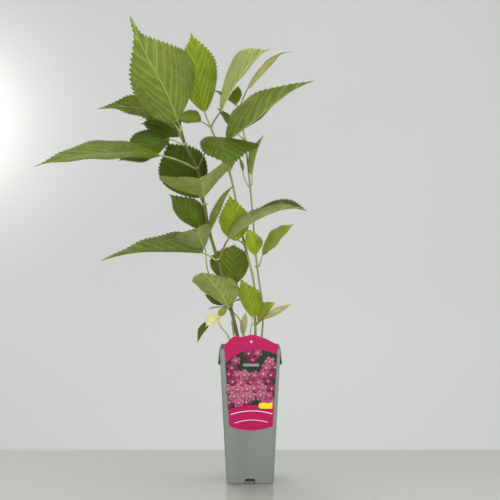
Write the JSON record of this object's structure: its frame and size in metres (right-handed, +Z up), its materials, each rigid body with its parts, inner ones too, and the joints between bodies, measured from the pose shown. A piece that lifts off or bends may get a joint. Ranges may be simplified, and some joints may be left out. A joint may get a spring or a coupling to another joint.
{
  "type": "potted hydrangea shrub",
  "caption": "Young hydrangea shrub with upright leafy canes in a tall square grey nursery pot with a picture label on its front.",
  "frame": {"origin": "middle of the pot's flat underside", "axes": "+Z up through the plant, -Y towards the side of the pot that carries the label, +X to the right as seen from that side"},
  "size_m": [0.3989, 0.1964, 0.6841],
  "materials": {
    "pot_plastic": "satin",
    "soil": "matte",
    "label_card": "satin",
    "cane_bark": "matte",
    "green_shoot": "satin",
    "leaf": "satin"
  },
  "bodies": {
    "root": {"pot": "pot_plastic", "potting_soil": "soil", "plant_label": "label_card", "main_cane": "cane_bark", "middle_cane": "cane_bark", "right_cane": "cane_bark", "thin_shoot": "green_shoot", "low_shoot": "green_shoot", "front_shoot": "green_shoot", "crown_leaf": "leaf", "upper_left_leaves": "leaf", "far_left_pair": "leaf", "centre_pair": "leaf", "small_upright_pair": "leaf", "broad_pair": "leaf", "low_centre_leaves": "leaf", "middle_tip_leaves": "leaf", "right_broad_leaf": "leaf", "round_leaf": "leaf", "low_right_pair": "leaf", "right_tip_leaves": "leaf", "right_upper_leaf": "leaf", "right_narrow_pair": "leaf", "right_lower_pair": "leaf", "thin_shoot_leaf": "leaf", "thin_shoot_pair": "leaf", "low_shoot_leaves": "leaf", "front_leaf": "leaf", "basal_leaves": "leaf"}
  },
  "joints": []
}
